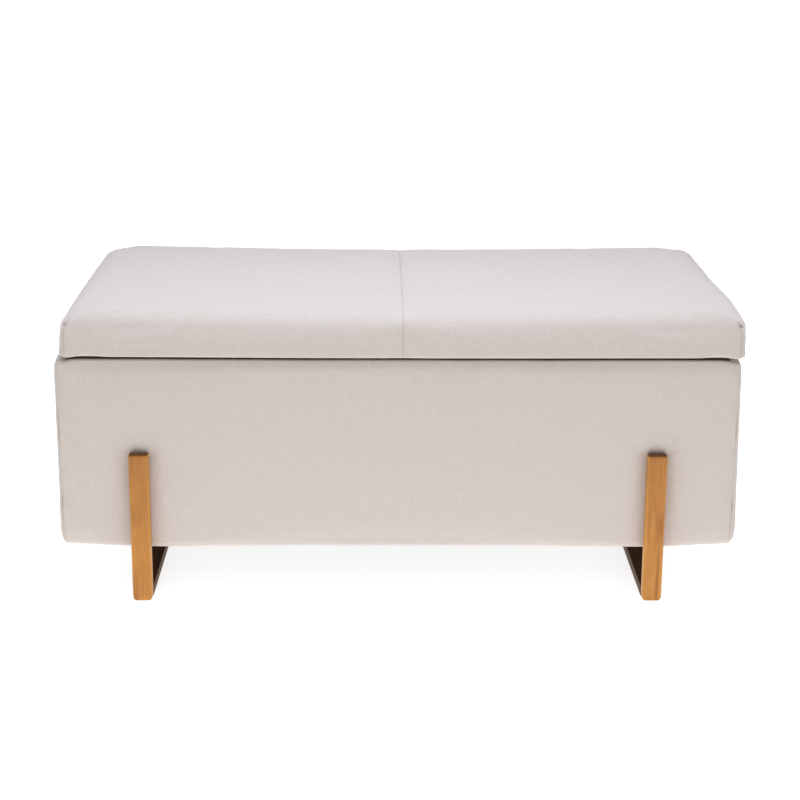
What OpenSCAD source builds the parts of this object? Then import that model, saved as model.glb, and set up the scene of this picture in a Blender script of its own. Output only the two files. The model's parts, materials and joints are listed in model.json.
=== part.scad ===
// Storage bench: an upholstered box carried by two wooden strap frames and closed by a hinged, padded lid.
// Millimetres, +Z up, the front faces -Y and +X is to the right of someone who faces the front.
// The origin is on the floor below the centre of the box.

/* [Overall size] */
// Width of the lid over its fabric
lid_width = 1100; // [1000:10:1200]
// Depth of the lid over its fabric
lid_depth = 500; // [470:5:540]
// Height of the crown of the lid above the floor
seat_height = 490; // [484:1:500]
// Height of the rim of the box above the floor
rim_height = 413; // [405:1:416]
// Height of the underside of the box above the floor
box_bottom = 92; // [80:1:100]
// Open space between the rim and the lid
lid_gap = 3; // [3:0.1:4]

/* [Box] */
// Thickness of the plywood walls
wall = 12; // [12:0.5:15]
// Thickness of the base board
base_thickness = 9; // [6:1:12]
// Width and height of the cleats under the base board
cleat = 18; // [15:1:18]
// How far each end of the box stands out past the lid
end_step = 4; // [2:0.5:6]
// How far the lid stands out past the front of the box
front_step = 6; // [4:0.5:8]

/* [Upholstery] */
// Thickness of the cover fabric
fabric = 1.5; // [1.2:0.1:1.8]
// Thickness of the foam on the front and the rear
long_foam = 10.5; // [9:0.5:12]
// Thickness of the foam on the two ends
end_foam = 14.5; // [12:0.5:16]
// Thickness of the lining inside the storage space
lining = 1; // [0.8:0.1:1.2]
// Thickness of the thin cloth under the lid and under the box
thin_cloth = 0.8; // [0.6:0.1:0.8]

/* [Leg frames] */
// Distance from the centre of the bench to the middle of a leg frame
strap_x = 423; // [380:1:440]
// Width of the wooden straps
strap_width = 32; // [28:1:38]
// Thickness of the wooden straps
strap_thickness = 19; // [18:1:22]
// Height of the top of the straps above the floor
strap_top = 255; // [230:1:280]
// Radius of the rounded long edges of the straps
strap_edge = 4; // [2:0.5:5]

/* [Lid] */
// Thickness of the lid board
lid_board_thickness = 12; // [9:1:15]
// Radius of the rounded top edge of the lid
lid_edge = 18; // [12:1:22]
// How far the crown stands above the top edge
lid_crown = 6; // [2:1:8]
// Furthest that the lid opens, in degrees
lid_open_angle = 95; // [90:1:95]

/* [Hidden] */

// Colours of the materials
linen = [0.83, 0.79, 0.76];
oak = [0.74, 0.51, 0.31];
plywood = [0.85, 0.75, 0.58];
foam_white = [0.94, 0.92, 0.86];
cloth_grey = [0.32, 0.32, 0.33];
steel = [0.70, 0.71, 0.72];
brass = [0.78, 0.62, 0.30];

// Faces of the box, from the outside to the inside
half_width = lid_width / 2 + end_step;
half_depth = lid_depth / 2 - front_step;
foam_x = half_width - fabric;
foam_y = half_depth - fabric;
panel_x = foam_x - end_foam;
panel_y = foam_y - long_foam;
inner_x = panel_x - wall;
inner_y = panel_y - wall;
store_x = inner_x - lining;
store_y = inner_y - lining;
panel_low = box_bottom + fabric;
panel_high = rim_height - fabric;
cleat_low = panel_low + 0.5;
base_low = cleat_low + cleat;
base_high = base_low + base_thickness;
lining_top = rim_height - 4;
flap = 5;

// Faces of the lid
lid_low = rim_height + lid_gap;
lid_half_x = lid_width / 2;
lid_half_y = lid_depth / 2;
lid_chamfer = 6;
lid_fabric = 1.8;
board_low = lid_low + 1;
board_margin = 10;
flap_inner = 55;
cloth_margin = 28;

// Leg fixings
bolt_radius = 3;
bolt_hole = 3.3;
bolt_heights = [140, 210];
bolt_head_radius = 6;
bolt_head_height = 4;
washer_radius = 9;
washer_thickness = 1.5;
insert_radius = 4.5;
insert_depth = 12;
dowel_radius = 4;
dowel_spacing = 16;
dowel_in_strap = 12;
dowel_in_runner = 18;
dowel_play = 0.05;

// Hinges: the pin lies behind the box, halfway up the gap between the rim and the lid
hinge_positions = [-380, 0, 380];
hinge_y = half_depth + 7;
hinge_z = rim_height + lid_gap / 2;
hinge_length = 60;
knuckle_radius = 3.5;
side_knuckle = 18;
knuckle_gap = 0.3;
middle_knuckle = hinge_length - 2 * side_knuckle - 2 * knuckle_gap;
leaf_thickness = 1.3;
leaf_front = inner_y + 0.5;
leaf_back = hinge_y - knuckle_radius - 0.5;
leaf_screw_y = inner_y + wall / 2;
leaf_screw_spacing = 20;
pin_radius = 1.5;
pin_running = 1.55;
pin_press = 1.49;

// Stays: four pivots at the corners of a parallelogram, of which the hinge pin is one
stay_lower_pivot = [hinge_y - 51, hinge_z - 159.5];
stay_reach = [-121, -14.5];
stay_lid_pivot = [hinge_y, hinge_z] + stay_reach;
stay_middle_pivot = stay_lower_pivot + stay_reach;
plate_thickness = 1.5;
arm_thickness = 2;
arm_radius = 6.5;
arm_half_width = 5.5;
arm_gap = 0.3;
plate_x = store_x - plate_thickness;
lower_arm_x = plate_x - arm_gap - arm_thickness;
upper_arm_x = lower_arm_x - arm_gap - arm_thickness;
rivet_radius = 2.5;
rivet_head_radius = 4.5;
rivet_head = 1.2;
rivet_running = 2.55;
rivet_loose = 2.9;
lug_radius = 2;
lug_along = 10;
lug_aside = arm_half_width + lug_radius + 0.4;
bracket_length = 30;
bracket_foot = 26;

// Wood screws and staples
screw_radius = 1.7;
screw_head_radius = 3;
screw_play = 0.1;
staple_crown = 10;
staple_wire = 0.8;
staple_leg = 6;

function turned(v, a) = [v[0] * cos(a) + v[1] * sin(a), v[1] * cos(a) - v[0] * sin(a)];
function unit(v) = v / norm(v);
function steps(reach, count) = [for (i = [0 : count - 1]) -reach + 2 * reach * i / (count - 1)];

module block(low, high) {
    translate(low) cube(high - low);
}

module left_side() {
    mirror([1, 0, 0]) children();
}

module rear_side() {
    mirror([0, 1, 0]) children();
}

module both_sides() {
    children();
    left_side() children();
}

module front_and_rear() {
    children();
    rear_side() children();
}

// A rod along +Y from the given point
module rod_y(at, radius, length) {
    translate(at) rotate([-90, 0, 0]) cylinder(r = radius, h = length, $fn = 32);
}

// A rod along +X from the given x, through a point given as [y, z]
module rod_x(x, at, radius, length) {
    translate([x, at[0], at[1]]) rotate([0, 90, 0]) cylinder(r = radius, h = length, $fn = 32);
}

// A countersunk wood screw that points along +Z, with its head flush at the origin
module wood_screw(length, head_height = 1.3) {
    cylinder(r1 = screw_head_radius, r2 = screw_radius, h = head_height, $fn = 24);
    translate([0, 0, head_height]) cylinder(r = screw_radius, h = length - head_height - 3, $fn = 24);
    translate([0, 0, length - 3]) cylinder(r1 = screw_radius, r2 = 0.3, h = 3, $fn = 24);
}

// The hole for that screw in a plate of the given thickness
module screw_hole(plate) {
    hole = screw_radius + screw_play;
    head = screw_head_radius + screw_play;
    cylinder(r1 = head, r2 = hole, h = plate, $fn = 24);
    translate([0, 0, -1]) cylinder(r = hole, h = plate + 2, $fn = 24);
}

// A staple with its crown along X and its legs pointing along +Z
module staple() {
    block([-staple_crown / 2, -staple_wire / 2, -0.5], [staple_crown / 2, staple_wire / 2, 0]);
    for (side = [-1, 1])
        translate([side * (staple_crown - staple_wire) / 2, 0, staple_leg / 2 - 0.25])
            cube([staple_wire, staple_wire, staple_leg + 0.5], center = true);
}

// Staples along a rectangle of the given half sizes
module staple_ring(reach_x, reach_y, count_x, count_y) {
    for (side = [-1, 1])
        for (x = steps(reach_x - 30, count_x))
            translate([x, side * reach_y, 0]) staple();
    for (side = [-1, 1])
        for (y = steps(reach_y - 30, count_y))
            translate([side * reach_x, y, 0]) rotate([0, 0, 90]) staple();
}

// ---- Box ----

// The bolt holes through one long wall, drawn for the front
module bolt_holes() {
    for (side = [-1, 1])
        for (z = bolt_heights)
            rod_y([side * strap_x, -half_depth - 1, z], bolt_hole, half_depth - store_y + 2);
}

module long_panel() {
    difference() {
        block([-panel_x, -panel_y, panel_low], [panel_x, -inner_y, panel_high]);
        bolt_holes();
    }
}

module end_panel() {
    block([inner_x, -inner_y, panel_low], [panel_x, inner_y, panel_high]);
}

module front_panel() {
    color(plywood) long_panel();
}

module rear_panel() {
    color(plywood) rear_side() long_panel();
}

module right_end_panel() {
    color(plywood) end_panel();
}

module left_end_panel() {
    color(plywood) left_side() end_panel();
}

// Screws through the long walls into the edges of the end walls
module panel_screws() {
    color(steel) front_and_rear() both_sides()
        for (z = [150, 250, 350])
            translate([panel_x - wall / 2, -panel_y, z]) rotate([-90, 0, 0]) wood_screw(40, 3);
}

module base_board() {
    color(plywood) block([-inner_x, -inner_y, base_low], [inner_x, inner_y, base_high]);
}

module long_cleat() {
    reach = inner_x - 20;
    block([-reach, -inner_y, cleat_low], [reach, cleat - inner_y, base_low]);
}

module front_cleat() {
    color(oak) long_cleat();
}

module rear_cleat() {
    color(oak) rear_side() long_cleat();
}

module centre_bearer() {
    reach = inner_y - cleat;
    color(oak) block([-cleat, -reach, cleat_low], [cleat, reach, base_low]);
}

module long_foam_sheet() {
    difference() {
        block([-foam_x, -foam_y, panel_low], [foam_x, -panel_y, panel_high]);
        bolt_holes();
    }
}

module end_foam_sheet() {
    block([panel_x, -panel_y, panel_low], [foam_x, panel_y, panel_high]);
}

module front_foam() {
    color(foam_white) long_foam_sheet();
}

module rear_foam() {
    color(foam_white) rear_side() long_foam_sheet();
}

module right_foam() {
    color(foam_white) end_foam_sheet();
}

module left_foam() {
    color(foam_white) left_side() end_foam_sheet();
}

// Cover of a long wall: the face, the flap over the rim and the flap under the wall
module long_cover() {
    difference() {
        union() {
            block([-half_width, -half_depth, box_bottom], [half_width, -foam_y, rim_height]);
            block([-half_width, -foam_y, panel_high], [half_width, -inner_y, rim_height]);
            block([-half_width, -foam_y, box_bottom], [half_width, flap - inner_y, panel_low]);
        }
        bolt_holes();
    }
}

module end_cover() {
    block([foam_x, -foam_y, panel_low], [half_width, foam_y, panel_high]);
    block([inner_x, -inner_y, panel_high], [half_width, inner_y, rim_height]);
    block([inner_x - flap, flap - inner_y, box_bottom], [half_width, inner_y - flap, panel_low]);
}

module front_cover() {
    color(linen) long_cover();
}

module rear_cover() {
    color(linen) rear_side() long_cover();
}

module right_cover() {
    color(linen) end_cover();
}

module left_cover() {
    color(linen) left_side() end_cover();
}

// A bag of cloth, open at the top, that lines the storage space
module storage_lining() {
    color(cloth_grey) difference() {
        block([-inner_x, -inner_y, base_high], [inner_x, inner_y, lining_top]);
        block([-store_x, -store_y, base_high + lining], [store_x, store_y, lining_top + 1]);
        front_and_rear() bolt_holes();
    }
}

module dust_cover() {
    x = inner_x + wall - 4;
    y = inner_y + wall - 4;
    color(cloth_grey) block([-x, -y, box_bottom - thin_cloth], [x, y, box_bottom]);
}

module dust_cover_staples() {
    color(steel) translate([0, 0, box_bottom - thin_cloth])
        staple_ring(inner_x + wall / 3, inner_y + wall / 3, 12, 5);
}

// ---- Leg frames ----

module rounded_rectangle(width, height, radius) {
    square([width - 2 * radius, height], center = true);
    square([width, height - 2 * radius], center = true);
    for (x = [-1, 1])
        for (y = [-1, 1])
            translate([x * (width / 2 - radius), y * (height / 2 - radius)]) circle(r = radius, $fn = 32);
}

module dowel_places() {
    for (side = [-1, 1])
        translate([strap_x + side * dowel_spacing / 2, 0, strap_thickness / 2]) children();
}

// The front strap of the right frame, with its holes for the inserts and the dowels
module strap() {
    difference() {
        translate([strap_x, -half_depth - strap_thickness / 2, 0])
            linear_extrude(height = strap_top) rounded_rectangle(strap_width, strap_thickness, strap_edge);
        for (z = bolt_heights)
            rod_y([strap_x, -half_depth - insert_depth, z], insert_radius, insert_depth + 1);
        dowel_places() rod_y([0, -half_depth - dowel_in_strap, 0], dowel_radius + dowel_play, dowel_in_strap + 1);
    }
}

// The runner of the right frame, which lies on the floor between the two straps
module runner() {
    difference() {
        translate([strap_x, half_depth, strap_thickness / 2])
            rotate([90, 0, 0])
                linear_extrude(height = 2 * half_depth)
                    rounded_rectangle(strap_width, strap_thickness, strap_edge);
        front_and_rear() dowel_places()
            rod_y([0, -half_depth - 1, 0], dowel_radius + dowel_play, dowel_in_runner + 1);
    }
}

module front_strap_right() {
    color(oak) strap();
}

module rear_strap_right() {
    color(oak) rear_side() strap();
}

module runner_right() {
    color(oak) runner();
}

module front_strap_left() {
    color(oak) left_side() strap();
}

module rear_strap_left() {
    color(oak) left_side() rear_side() strap();
}

module runner_left() {
    color(oak) left_side() runner();
}

module leg_dowels() {
    color(plywood) both_sides() front_and_rear() dowel_places()
        rod_y([0, -half_depth - dowel_in_strap, 0], dowel_radius, dowel_in_strap + dowel_in_runner);
}

// One child at each leg bolt, with the origin on the lining and +Y pointing into the storage space
module at_leg_bolts() {
    both_sides() front_and_rear()
        for (z = bolt_heights)
            translate([strap_x, -store_y, z]) children();
}

module leg_bolts() {
    length = half_depth - store_y + insert_depth - 1;
    socket = 2;
    color(steel) at_leg_bolts() difference() {
        union() {
            rod_y([0, -length, 0], bolt_radius, length + washer_thickness + 1);
            rod_y([0, washer_thickness, 0], bolt_head_radius, bolt_head_height);
        }
        translate([0, washer_thickness + bolt_head_height - 2.5, 0])
            rotate([-90, 0, 0]) cylinder(r = socket, h = 4, $fn = 6);
    }
}

module leg_washers() {
    color(steel) at_leg_bolts() difference() {
        rod_y([0, 0, 0], washer_radius, washer_thickness);
        rod_y([0, -1, 0], bolt_hole, washer_thickness + 2);
    }
}

module leg_inserts() {
    bury = half_depth - store_y;
    color(brass) at_leg_bolts() difference() {
        rod_y([0, -bury - insert_depth, 0], insert_radius - dowel_play, insert_depth);
        rod_y([0, -bury - insert_depth - 1, 0], bolt_radius + dowel_play, insert_depth + 2);
    }
}

// ---- Hinges ----

module leaf_screw_places(x) {
    for (i = [-1 : 1])
        translate([x + i * leaf_screw_spacing, leaf_screw_y, 0]) children();
}

module hinge_box_leaf(x) {
    color(steel) difference() {
        union() {
            block([x - hinge_length / 2, leaf_front, rim_height],
                  [x + hinge_length / 2, leaf_back, rim_height + leaf_thickness]);
            for (start = [-hinge_length / 2, hinge_length / 2 - side_knuckle]) {
                block([x + start, leaf_back - 1, rim_height],
                      [x + start + side_knuckle, hinge_y, rim_height + leaf_thickness]);
                rod_x(x + start, [hinge_y, hinge_z], knuckle_radius, side_knuckle);
            }
        }
        rod_x(x - hinge_length, [hinge_y, hinge_z], pin_press, 2 * hinge_length);
        leaf_screw_places(x) translate([0, 0, rim_height + leaf_thickness])
            mirror([0, 0, 1]) screw_hole(leaf_thickness);
    }
}

module hinge_lid_leaf(x) {
    color(steel) difference() {
        union() {
            block([x - hinge_length / 2, leaf_front, lid_low - leaf_thickness],
                  [x + hinge_length / 2, leaf_back, lid_low]);
            block([x - middle_knuckle / 2, leaf_back - 1, lid_low - leaf_thickness],
                  [x + middle_knuckle / 2, hinge_y, lid_low]);
            rod_x(x - middle_knuckle / 2, [hinge_y, hinge_z], knuckle_radius, middle_knuckle);
        }
        rod_x(x - hinge_length, [hinge_y, hinge_z], pin_running, 2 * hinge_length);
        leaf_screw_places(x) translate([0, 0, lid_low - leaf_thickness]) screw_hole(leaf_thickness);
    }
}

module hinge_pins() {
    tip = 1.2;
    color(steel) for (x = hinge_positions) {
        rod_x(x - hinge_length / 2, [hinge_y, hinge_z], pin_radius, hinge_length);
        rod_x(x - hinge_length / 2 - tip, [hinge_y, hinge_z], knuckle_radius - 0.8, tip);
        rod_x(x + hinge_length / 2, [hinge_y, hinge_z], knuckle_radius - 0.8, tip);
    }
}

module hinge_box_screws() {
    color(steel) for (x = hinge_positions)
        leaf_screw_places(x) translate([0, 0, rim_height + leaf_thickness])
            mirror([0, 0, 1]) wood_screw(25);
}

module hinge_lid_screws() {
    color(steel) for (x = hinge_positions)
        leaf_screw_places(x) translate([0, 0, lid_low - leaf_thickness]) wood_screw(12);
}

module hinge_box_leaf_left() {
    hinge_box_leaf(hinge_positions[0]);
}

module hinge_box_leaf_centre() {
    hinge_box_leaf(hinge_positions[1]);
}

module hinge_box_leaf_right() {
    hinge_box_leaf(hinge_positions[2]);
}

module hinge_lid_leaf_left() {
    hinge_lid_leaf(hinge_positions[0]);
}

module hinge_lid_leaf_centre() {
    hinge_lid_leaf(hinge_positions[1]);
}

module hinge_lid_leaf_right() {
    hinge_lid_leaf(hinge_positions[2]);
}

// ---- Stays ----

// A flat bar between two [y, z] points, with wider round ends and one face at the given x
module arm_bar(x, from, to, radius, half_width) {
    run = to - from;
    translate([x, from[0], from[1]]) rotate([atan2(run[1], run[0]), 0, 0])
        rotate([90, 0, 90]) linear_extrude(height = arm_thickness) {
            circle(r = radius, $fn = 32);
            translate([norm(run), 0]) circle(r = radius, $fn = 32);
            translate([0, -half_width]) square([norm(run), 2 * half_width]);
        }
}

module side_screw_places() {
    for (at = [[-13, -11], [-13, 11], [12, 0]])
        translate([plate_x, stay_lower_pivot[0] + at[0], stay_lower_pivot[1] + at[1]])
            rotate([0, 90, 0]) children();
}

module stay_side_bracket() {
    difference() {
        block([plate_x, stay_lower_pivot[0] - 18, stay_lower_pivot[1] - 17],
              [store_x, stay_lower_pivot[0] + 17, stay_lower_pivot[1] + 17]);
        rod_x(plate_x - 1, stay_lower_pivot, rivet_radius, 4);
        side_screw_places() screw_hole(plate_thickness);
    }
}

// The lug on the lower arm, where the upper arm comes to rest when the lid is fully open
function lug_centre() =
    let (ahead = turned(unit(stay_lid_pivot - stay_middle_pivot), -lid_open_angle))
    stay_middle_pivot + lug_along * ahead + lug_aside * [-ahead[1], ahead[0]];

module stay_lower_arm() {
    difference() {
        union() {
            arm_bar(lower_arm_x, stay_lower_pivot, stay_middle_pivot, arm_radius, arm_half_width);
            arm_bar(lower_arm_x, stay_middle_pivot, lug_centre(), 2 * lug_radius, 1.5 * lug_radius);
            rod_x(upper_arm_x, lug_centre(), lug_radius, 2 * arm_thickness);
        }
        rod_x(lower_arm_x - 1, stay_lower_pivot, rivet_running, 4);
        rod_x(lower_arm_x - 1, stay_middle_pivot, rivet_radius, 4);
    }
}

module stay_upper_arm() {
    difference() {
        arm_bar(upper_arm_x, stay_middle_pivot, stay_lid_pivot, arm_radius, arm_half_width);
        rod_x(upper_arm_x - 1, stay_middle_pivot, rivet_loose, 4);
        rod_x(upper_arm_x - 1, stay_lid_pivot, rivet_running, 4);
    }
}

module lid_screw_places() {
    for (side = [-1, 1])
        translate([store_x - bracket_foot + 6, stay_lid_pivot[0] + side * 9, lid_low - thin_cloth - plate_thickness])
            children();
}

module stay_lid_bracket() {
    top = lid_low - thin_cloth;
    back = lower_arm_x + arm_thickness;
    difference() {
        union() {
            rod_x(lower_arm_x, stay_lid_pivot, 9, arm_thickness);
            block([lower_arm_x, stay_lid_pivot[0] - 9, stay_lid_pivot[1]], [back, stay_lid_pivot[0] + 9, top]);
            block([store_x - bracket_foot, stay_lid_pivot[0] - bracket_length / 2, top - plate_thickness],
                  [back, stay_lid_pivot[0] + bracket_length / 2, top]);
        }
        rod_x(lower_arm_x - 1, stay_lid_pivot, rivet_radius, 4);
        lid_screw_places() screw_hole(plate_thickness);
    }
}

// A rivet that is fixed in the plate behind the arm and carries the upper arm
module upper_arm_rivet(at) {
    face = upper_arm_x - arm_gap;
    back = lower_arm_x + arm_thickness;
    rod_x(face, at, rivet_radius, back - face);
    rod_x(face - rivet_head, at, rivet_head_radius, rivet_head);
    rod_x(back, at, rivet_head_radius, rivet_head);
}

module side_rivet() {
    face = lower_arm_x - arm_gap;
    rod_x(face, stay_lower_pivot, rivet_radius, store_x - face);
    rod_x(face - rivet_head, stay_lower_pivot, rivet_head_radius, rivet_head);
}

module stay_side_bracket_right() {
    color(steel) stay_side_bracket();
}

module stay_side_bracket_left() {
    color(steel) left_side() stay_side_bracket();
}

module stay_side_rivets() {
    color(steel) both_sides() side_rivet();
}

module stay_side_screws() {
    color(steel) both_sides() side_screw_places() wood_screw(12);
}

module stay_lid_bracket_right() {
    color(steel) stay_lid_bracket();
}

module stay_lid_bracket_left() {
    color(steel) left_side() stay_lid_bracket();
}

module stay_lid_rivets() {
    color(steel) both_sides() upper_arm_rivet(stay_lid_pivot);
}

module stay_lid_screws() {
    color(steel) both_sides() lid_screw_places() wood_screw(13);
}

module stay_lower_arm_right() {
    color(steel) stay_lower_arm();
}

module stay_lower_arm_left() {
    color(steel) left_side() stay_lower_arm();
}

module stay_middle_rivet_right() {
    color(steel) upper_arm_rivet(stay_middle_pivot);
}

module stay_middle_rivet_left() {
    color(steel) left_side() upper_arm_rivet(stay_middle_pivot);
}

module stay_upper_arm_right() {
    color(steel) stay_upper_arm();
}

module stay_upper_arm_left() {
    color(steel) left_side() stay_upper_arm();
}

// ---- Lid ----

// The padded shape of the lid, drawn in by the given inset
module lid_shape(inset) {
    low = lid_low + (inset > 0 ? 1 : 0);
    x = lid_half_x - inset - lid_edge;
    y = lid_half_y - inset - lid_edge;
    top = seat_height - inset;
    waist = lid_low + lid_chamfer;
    hull() {
        for (side_x = [-1, 1])
            for (side_y = [-1, 1])
                translate([side_x * x, side_y * y, 0]) {
                    translate([0, 0, low]) cylinder(r = lid_edge - lid_chamfer, h = 1, $fn = 24);
                    translate([0, 0, waist]) cylinder(r = lid_edge, h = 1, $fn = 24);
                    translate([0, 0, top - lid_crown - lid_edge]) sphere(r = lid_edge, $fn = 24);
                }
        block([-0.7 * x, -0.6 * y, top - 1], [0.7 * x, 0.6 * y, top]);
    }
}

module board_block() {
    x = lid_half_x - board_margin;
    y = lid_half_y - board_margin;
    block([-x, -y, board_low], [x, y, board_low + lid_board_thickness]);
}

module lid_board() {
    color(plywood) board_block();
}

module lid_foam() {
    color(foam_white) difference() {
        lid_shape(lid_fabric);
        translate([0, 0, -1]) board_block();
        board_block();
    }
}

// The right half of the fabric cover: it wraps round the edge and ends in a flap under the board
module half_cover() {
    difference() {
        lid_shape(0);
        lid_shape(lid_fabric);
        block([flap_inner - lid_half_x, flap_inner - lid_half_y, lid_low - 1],
              [lid_half_x - flap_inner, lid_half_y - flap_inner, board_low + 1]);
        block([-lid_half_x - 1, -lid_half_y - 1, lid_low - 1], [0, lid_half_y + 1, seat_height + 1]);
    }
}

module lid_cover_right() {
    color(linen) half_cover();
}

module lid_cover_left() {
    color(linen) left_side() half_cover();
}

module lid_lining() {
    x = lid_half_x - cloth_margin;
    y = store_y - 3;
    color(cloth_grey) block([-x, -y, lid_low - thin_cloth], [x, y, lid_low]);
}

module lid_staples() {
    color(steel) translate([0, 0, lid_low - thin_cloth])
        staple_ring(lid_half_x - cloth_margin - 14, store_y - 11, 12, 5);
}

front_panel();
rear_panel();
left_end_panel();
right_end_panel();
panel_screws();
base_board();
front_cleat();
rear_cleat();
centre_bearer();
front_foam();
rear_foam();
left_foam();
right_foam();
front_cover();
rear_cover();
left_cover();
right_cover();
storage_lining();
dust_cover();
dust_cover_staples();
front_strap_left();
rear_strap_left();
runner_left();
front_strap_right();
rear_strap_right();
runner_right();
leg_dowels();
leg_bolts();
leg_washers();
leg_inserts();
hinge_box_leaf_left();
hinge_box_leaf_centre();
hinge_box_leaf_right();
hinge_pins();
hinge_box_screws();
stay_side_bracket_left();
stay_side_bracket_right();
stay_side_rivets();
stay_side_screws();
lid_board();
lid_foam();
lid_cover_left();
lid_cover_right();
lid_lining();
lid_staples();
hinge_lid_leaf_left();
hinge_lid_leaf_centre();
hinge_lid_leaf_right();
hinge_lid_screws();
stay_lid_bracket_left();
stay_lid_bracket_right();
stay_lid_rivets();
stay_lid_screws();
stay_lower_arm_left();
stay_lower_arm_right();
stay_middle_rivet_left();
stay_middle_rivet_right();
stay_upper_arm_left();
stay_upper_arm_right();
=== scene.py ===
"""Looks of the storage ottoman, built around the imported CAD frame."""
import json
import math

import bpy
import numpy as np
from mathutils import Matrix, Vector, noise
from mathutils.bvhtree import BVHTree


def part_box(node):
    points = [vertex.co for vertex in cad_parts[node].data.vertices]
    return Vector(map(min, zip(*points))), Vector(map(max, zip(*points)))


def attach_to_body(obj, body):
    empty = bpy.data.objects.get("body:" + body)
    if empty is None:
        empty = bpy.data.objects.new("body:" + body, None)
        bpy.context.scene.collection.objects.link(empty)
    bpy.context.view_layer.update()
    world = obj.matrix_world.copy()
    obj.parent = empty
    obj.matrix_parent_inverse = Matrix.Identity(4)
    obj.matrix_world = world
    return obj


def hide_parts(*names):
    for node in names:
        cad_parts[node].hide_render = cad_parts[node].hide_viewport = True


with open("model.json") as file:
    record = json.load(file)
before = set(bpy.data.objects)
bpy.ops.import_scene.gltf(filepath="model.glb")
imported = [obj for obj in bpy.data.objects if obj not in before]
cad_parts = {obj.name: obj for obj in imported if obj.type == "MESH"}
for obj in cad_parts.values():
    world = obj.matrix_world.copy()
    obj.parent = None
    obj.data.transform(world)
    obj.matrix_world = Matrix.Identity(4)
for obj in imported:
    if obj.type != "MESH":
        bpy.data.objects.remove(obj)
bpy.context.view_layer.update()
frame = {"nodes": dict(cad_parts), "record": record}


# ---------------------------------------------------------------- sizes, in metres

def span(*nodes):
    """Lowest and highest corner of several CAD nodes together."""
    corners = [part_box(node) for node in nodes]
    low = np.min([np.array(c[0]) for c in corners], axis=0)
    high = np.max([np.array(c[1]) for c in corners], axis=0)
    return low, high


LID_LOW, LID_HIGH = span("lid_cover_left", "lid_cover_right")
BODY_LOW, BODY_HIGH = span("front_cover", "rear_cover", "left_cover", "right_cover")
_, PANEL_HIGH = span("front_panel", "rear_panel", "left_end_panel", "right_end_panel")
LINING_LOW, LINING_HIGH = span("storage_lining")
STRAP_LOW, STRAP_HIGH = span("front_strap_right")

LID_SHIFT = 0.0065        # the lid cover sits this far to the right of the box
MILLIMETRE = 0.001
GRID = 0.0098             # spacing of the grid lines on the cushions' skins


# ---------------------------------------------------------------- small helpers

def smooth(values, low, high):
    """Smooth step from 0 at low to 1 at high."""
    t = np.clip((values - low) / (high - low), 0.0, 1.0)
    return t * t * (3.0 - 2.0 * t)


def bell(values, width):
    """A smooth bump of height 1 at 0."""
    return np.exp(-(values / width) ** 2)


def make_object(name, points, faces, material):
    """A mesh object with smooth faces."""
    mesh = bpy.data.meshes.new(name)
    mesh.from_pydata([tuple(p) for p in points], [], faces)
    mesh.update()
    mesh.polygons.foreach_set("use_smooth", [True] * len(mesh.polygons))
    mesh.materials.append(material)
    piece = bpy.data.objects.new(name, mesh)
    bpy.context.scene.collection.objects.link(piece)
    return piece


def read_points(mesh):
    """The points of a mesh as an array."""
    flat = np.empty(len(mesh.vertices) * 3)
    mesh.vertices.foreach_get("co", flat)
    return flat.reshape(-1, 3)


def read_normals(mesh):
    """The vertex normals of a mesh as an array."""
    flat = np.empty(len(mesh.vertices) * 3)
    mesh.vertex_normals.foreach_get("vector", flat)
    return flat.reshape(-1, 3)


def write_points(mesh, points):
    """Puts points back into a mesh."""
    mesh.vertices.foreach_set("co", np.asarray(points).ravel())
    mesh.update()


def noise_field(points, scale, seed):
    """Smooth noise from -1 to 1 at each point, with features about scale metres wide."""
    offset = Vector((seed * 17.3, seed * 5.9, seed * 11.1))
    return np.array([noise.noise(Vector(p) / scale + offset) for p in points])


def attach(piece, body, slot, *nodes):
    """Puts a piece on its body, in place of the CAD nodes named. slot is not used."""
    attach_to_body(piece, body)
    if nodes:
        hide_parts(*nodes)


def thicken(sheet, thickness):
    """Gives a sheet its thickness, half to each side."""
    modifier = sheet.modifiers.new("thickness", "SOLIDIFY")
    modifier.thickness = thickness
    modifier.offset = 0.0


def apply_subdivision(piece):
    """Subdivides a piece once, smoothly, and keeps the result as its mesh."""
    modifier = piece.modifiers.new("subdivision", "SUBSURF")
    modifier.levels = 1
    modifier.render_levels = 1
    evaluated = piece.evaluated_get(bpy.context.evaluated_depsgraph_get())
    mesh = bpy.data.meshes.new_from_object(evaluated)
    piece.modifiers.clear()
    piece.vertex_groups.clear()
    piece.data = mesh


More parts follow.
